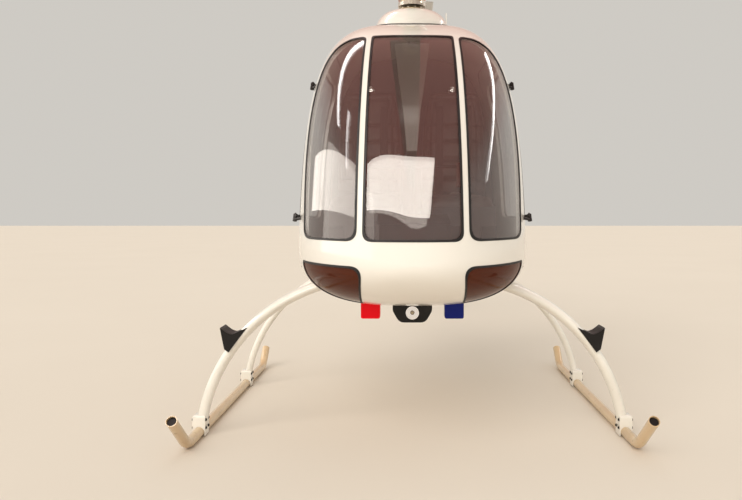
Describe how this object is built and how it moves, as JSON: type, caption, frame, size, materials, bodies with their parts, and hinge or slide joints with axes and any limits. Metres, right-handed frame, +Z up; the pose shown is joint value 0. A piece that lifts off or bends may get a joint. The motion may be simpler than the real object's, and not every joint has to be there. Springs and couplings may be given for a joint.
{
  "type": "light two-seat helicopter",
  "caption": "Light two-seat helicopter on skids, egg-shaped glazed cabin, teetering main rotor, opening doors and a tail rotor inside a ring guard.",
  "frame": {"origin": "on the floor under the middle of the overall box, skids resting on Z = 0", "axes": "nose towards -Y, the aircraft's left towards +X, +Z up"},
  "size_m": [2.07, 7.5, 2.408],
  "materials": {
    "body_white": "warm white gloss paint on composite",
    "tinted_glass": "brown tinted acrylic",
    "cabin_grey": "grey textured cabin lining",
    "seat_fabric": "brown upholstery",
    "trim_black": "black satin",
    "engine_metal": "cast alloy",
    "skid_cream": "cream paint on steel tube",
    "lamp_red": "red lens",
    "lamp_blue": "blue lens",
    "lamp_chrome": "bright reflector",
    "rotor_steel": "machined metal",
    "blade_paint": "light grey satin paint"
  },
  "bodies": {
    "airframe": {"cabin_shell": "body_white", "engine_cowl": "body_white", "windshield_centre": "tinted_glass", "windshield_left": "tinted_glass", "windshield_right": "tinted_glass", "chin_window_left": "tinted_glass", "chin_window_right": "tinted_glass", "mast_fairing": "body_white", "mast_tower": "rotor_steel", "cabin_floor": "cabin_grey", "rear_bulkhead": "cabin_grey", "mast_column": "cabin_grey", "seat_left": "seat_fabric", "seat_right": "seat_fabric", "instrument_console": "trim_black", "cyclic_stick": "trim_black", "collective_lever": "trim_black", "pedals": "trim_black", "engine_block": "engine_metal", "exhaust_pipe": "engine_metal", "cross_tube_front": "body_white", "cross_tube_rear": "body_white", "skid_left": "skid_cream", "skid_right": "skid_cream", "saddle_front_left": "trim_black", "saddle_front_right": "trim_black", "saddle_rear_left": "trim_black", "saddle_rear_right": "trim_black", "boarding_step_left": "trim_black", "boarding_step_right": "trim_black", "belly_lamp_red": "lamp_red", "belly_lamp_blue": "lamp_blue", "landing_light_housing": "trim_black", "landing_light": "lamp_chrome", "tail_boom": "body_white", "tail_guard_upper": "body_white", "tail_guard_lower": "body_white", "stabiliser": "body_white", "tail_gearbox": "rotor_steel", "antenna": "trim_black"},
    "main_rotor": {"rotor_mast": "rotor_steel", "rotor_hub": "rotor_steel", "main_blade_front": "blade_paint", "main_blade_rear": "blade_paint"},
    "tail_rotor": {"tail_rotor": "blade_paint"},
    "door_left": {"door_left": "body_white", "door_glass_left": "tinted_glass"},
    "door_right": {"door_right": "body_white", "door_glass_right": "tinted_glass"}
  },
  "joints": [
    {"name": "main_rotor_spin", "type": "hinge", "parent": "airframe", "child": "main_rotor", "pos_m": [0, -0.4, 2.25], "axis": [0, 0, 1], "continuous": true},
    {"name": "tail_rotor_spin", "type": "hinge", "parent": "airframe", "child": "tail_rotor", "pos_m": [0.112, 3.22, 1.43], "axis": [1, 0, 0], "continuous": true},
    {"name": "door_left_hinge", "type": "hinge", "parent": "airframe", "child": "door_left", "pos_m": [0.559, -1.06, 1.033], "axis": [0.0893, -0.2707, -0.9585], "range_deg": [0, 72]},
    {"name": "door_right_hinge", "type": "hinge", "parent": "airframe", "child": "door_right", "pos_m": [-0.559, -1.06, 1.033], "axis": [0.0893, 0.2707, 0.9585], "range_deg": [0, 72]}
  ]
}
